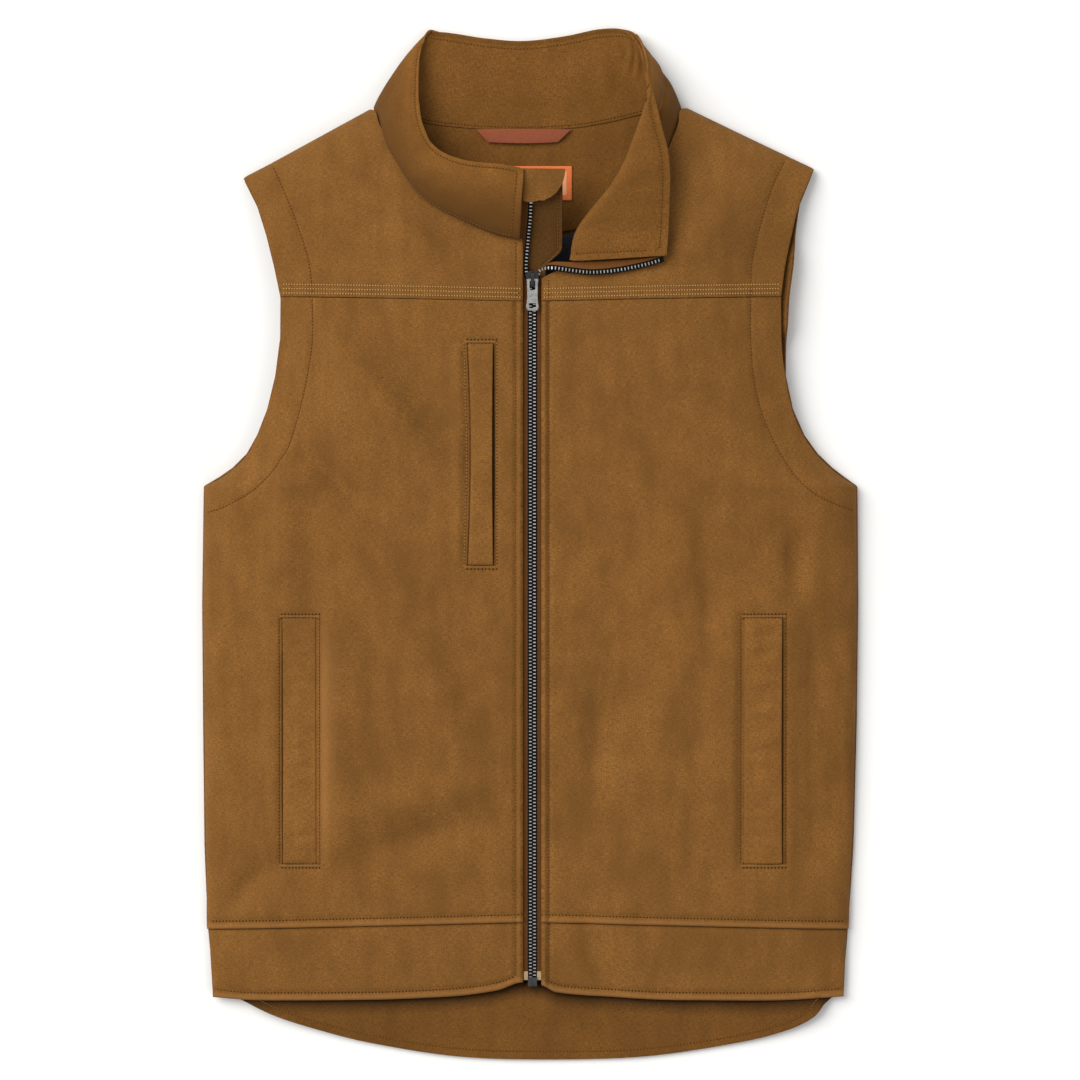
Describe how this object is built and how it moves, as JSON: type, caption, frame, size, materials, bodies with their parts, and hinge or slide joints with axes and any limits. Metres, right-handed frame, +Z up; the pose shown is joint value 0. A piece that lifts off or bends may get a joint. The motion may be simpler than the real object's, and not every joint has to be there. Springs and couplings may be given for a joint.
{
  "type": "softshell work vest",
  "caption": "Zip-front work vest in brown duck softshell with stand collar, chest yoke, welt pockets, hem band and drop tail, lying on its back with the collar part open.",
  "frame": {"origin": "middle of the vest's outline at the level of the floor that its back lies on", "axes": "+X to the wearer's left, +Y from hem to collar, +Z up from the floor through the front"},
  "size_m": [0.5466, 0.8631, 0.053],
  "materials": {
    "duck_cloth": "matte washed cotton duck with a fine twill weave",
    "lining": "dark navy fleece-backed lining",
    "zip_tape": "woven rust-brown zip tape",
    "zip_metal": "antique nickel, satin",
    "teeth_metal": "dark antique nickel",
    "loop_tape": "rust-red twill tape",
    "label_weave": "orange woven label, blank",
    "tape_end": "pale film on the tape's end"
  },
  "bodies": {
    "vest": {"back_panel": "duck_cloth", "back_neck_facing": "duck_cloth", "back_lining": "lining", "right_front": "duck_cloth", "right_yoke": "duck_cloth", "right_hem_band": "duck_cloth", "right_zip_tape": "zip_tape", "right_zip_teeth": "teeth_metal", "right_tape_end": "tape_end", "left_front": "duck_cloth", "left_yoke": "duck_cloth", "left_hem_band": "duck_cloth", "left_zip_tape": "zip_tape", "left_zip_teeth": "teeth_metal", "lapel_zip_tape": "zip_tape", "left_tape_end": "tape_end", "collar": "duck_cloth", "wind_flap": "duck_cloth", "zip_garage": "duck_cloth", "zip_slider": "zip_metal", "zip_box": "zip_metal", "chest_pocket_welt": "duck_cloth", "right_pocket_welt": "duck_cloth", "left_pocket_welt": "duck_cloth", "hanger_loop": "loop_tape", "neck_label": "label_weave"},
    "pull": {"zip_pull": "zip_metal"}
  },
  "joints": [
    {"name": "pull_hinge", "type": "hinge", "parent": "vest", "child": "pull", "pos_m": [0.002, 0.2194, 0.042], "axis": [-1, 0, 0], "range_deg": [0, 170]}
  ]
}
